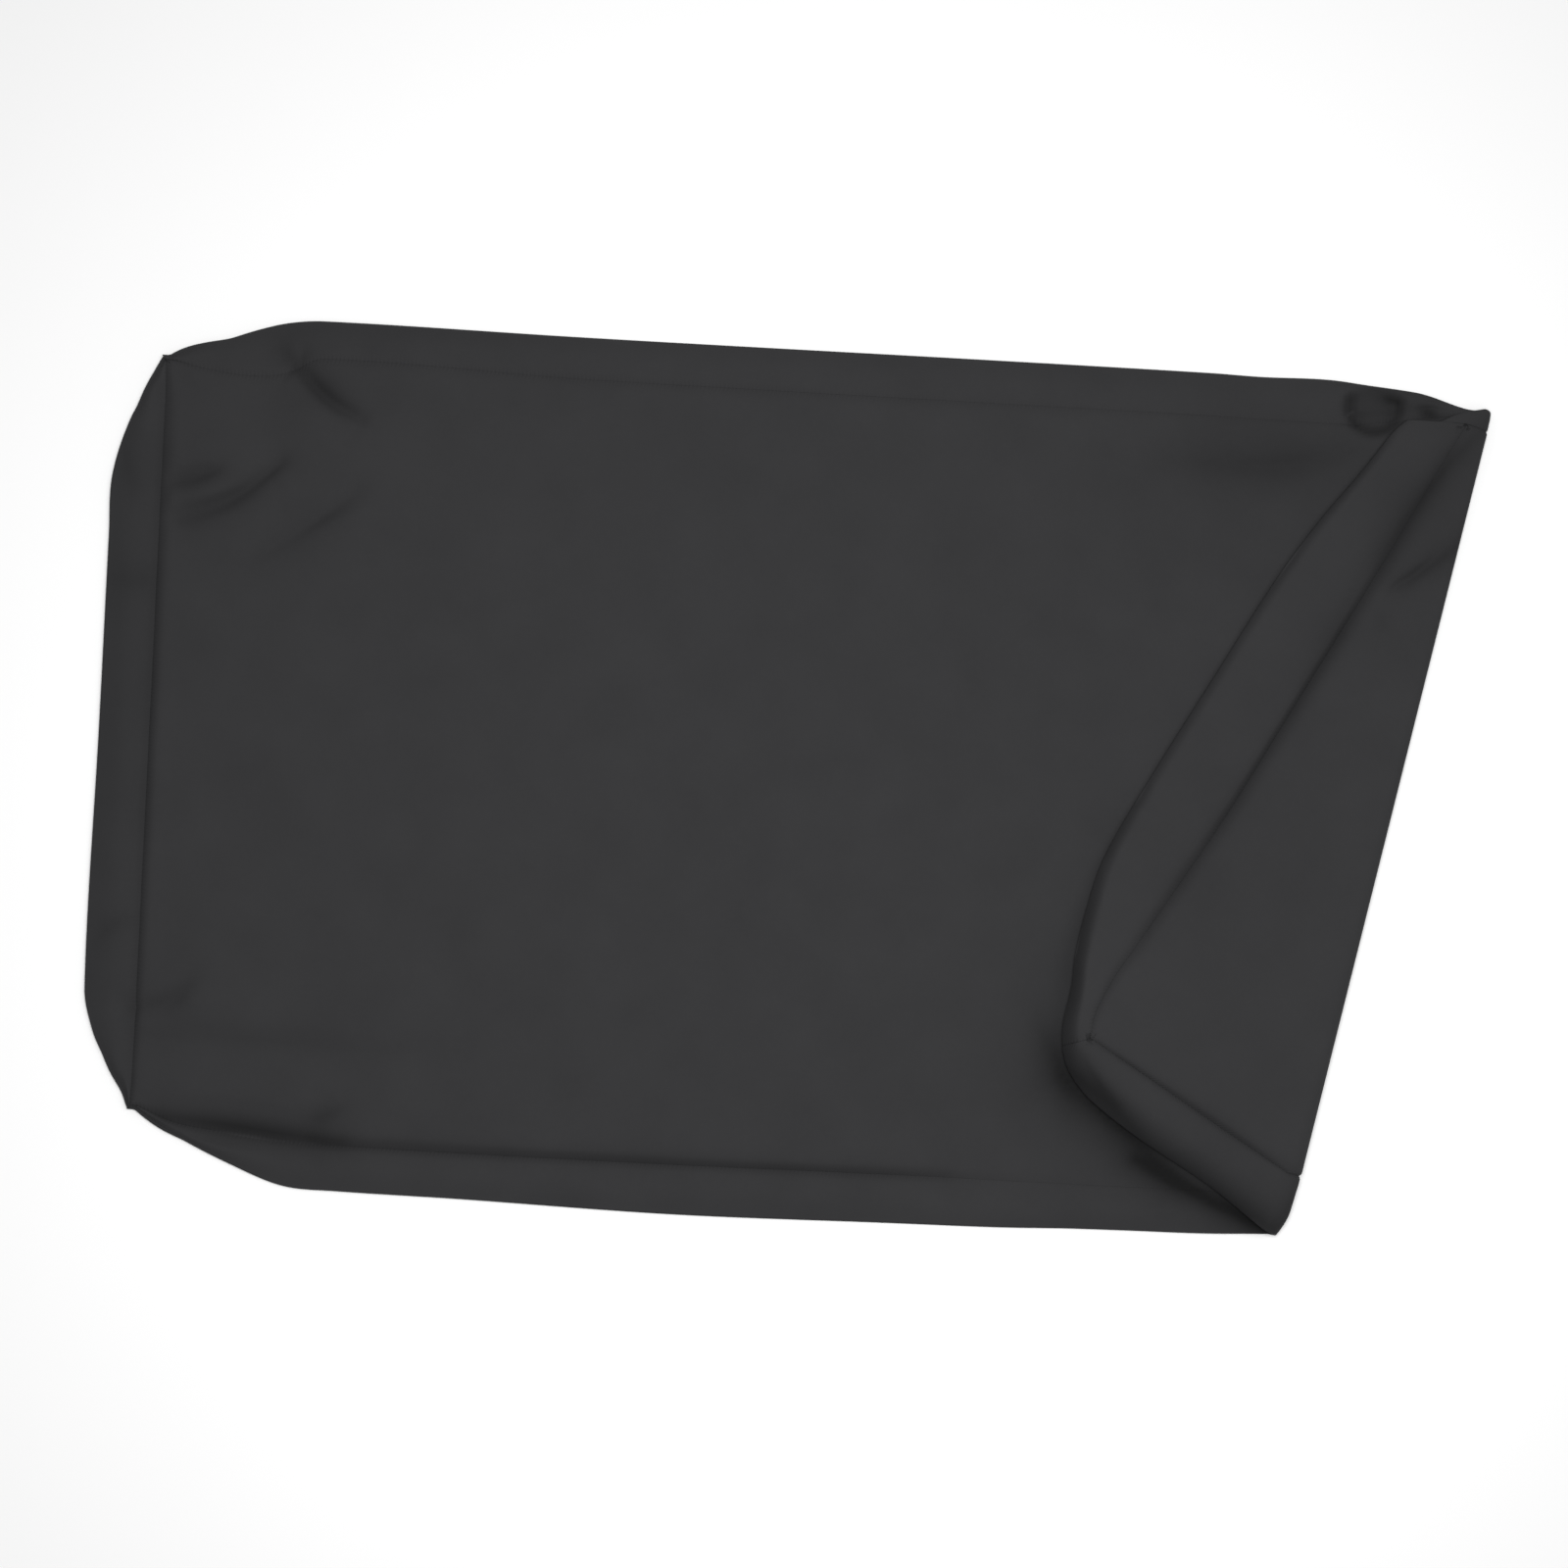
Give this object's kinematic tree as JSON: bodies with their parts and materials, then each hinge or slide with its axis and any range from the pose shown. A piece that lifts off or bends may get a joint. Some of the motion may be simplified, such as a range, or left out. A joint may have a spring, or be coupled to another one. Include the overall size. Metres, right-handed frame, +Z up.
{
  "type": "dog bed cover",
  "caption": "Empty boxed cover for a rectangular dog bed, lying flat with one corner folded back over its top.",
  "frame": {"origin": "middle of the footprint's bounding box, on the surface that the cover lies on", "axes": "+X along the long side, towards the folded end; +Y towards the side where the fold ends in a point; +Z up"},
  "size_m": [1.037, 0.656, 0.0253],
  "materials": {
    "charcoal_cloth": "matte brushed polyester, charcoal"
  },
  "bodies": {
    "root": {"top_panel": "charcoal_cloth", "bottom_panel": "charcoal_cloth", "front_strip": "charcoal_cloth", "back_strip": "charcoal_cloth", "left_strip": "charcoal_cloth", "end_strip": "charcoal_cloth"}
  },
  "joints": []
}
